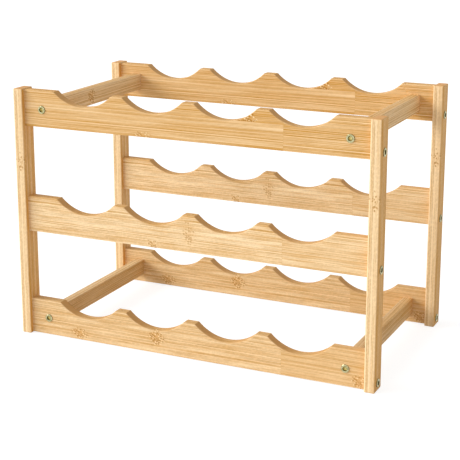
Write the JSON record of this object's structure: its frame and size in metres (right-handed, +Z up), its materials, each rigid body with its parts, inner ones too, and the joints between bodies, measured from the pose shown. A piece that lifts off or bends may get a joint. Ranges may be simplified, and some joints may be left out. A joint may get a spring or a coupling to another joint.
{
  "type": "wine rack",
  "caption": "Open bamboo bottle rack: ladder frames of scalloped rails between posts, joined by cross bars, for bottles that lie front to back.",
  "frame": {"origin": "middle of the footprint, at the level of the feet", "axes": "+X to the right along the rails, +Y to the back along the bottles, +Z up"},
  "size_m": [0.432, 0.238, 0.287],
  "materials": {
    "bamboo": "satin clear lacquer on laminated bamboo, grain along each board",
    "screw_metal": "yellow zinc plating, satin",
    "dowel_wood": "bare fluted hardwood dowel, hidden"
  },
  "bodies": {
    "root": {"front_left_post": "bamboo", "front_right_post": "bamboo", "back_left_post": "bamboo", "back_right_post": "bamboo", "front_bottom_rail": "bamboo", "front_middle_rail": "bamboo", "front_top_rail": "bamboo", "back_bottom_rail": "bamboo", "back_middle_rail": "bamboo", "back_top_rail": "bamboo", "top_left_cross_bar": "bamboo", "top_right_cross_bar": "bamboo", "bottom_left_cross_bar": "bamboo", "bottom_right_cross_bar": "bamboo", "front_left_post_screws": "screw_metal", "front_right_post_screws": "screw_metal", "back_left_post_screws": "screw_metal", "back_right_post_screws": "screw_metal", "front_top_bar_screws": "screw_metal", "front_bottom_bar_screws": "screw_metal", "back_top_bar_screws": "screw_metal", "back_bottom_bar_screws": "screw_metal", "front_left_dowels": "dowel_wood", "front_right_dowels": "dowel_wood", "back_left_dowels": "dowel_wood", "back_right_dowels": "dowel_wood"}
  },
  "joints": []
}
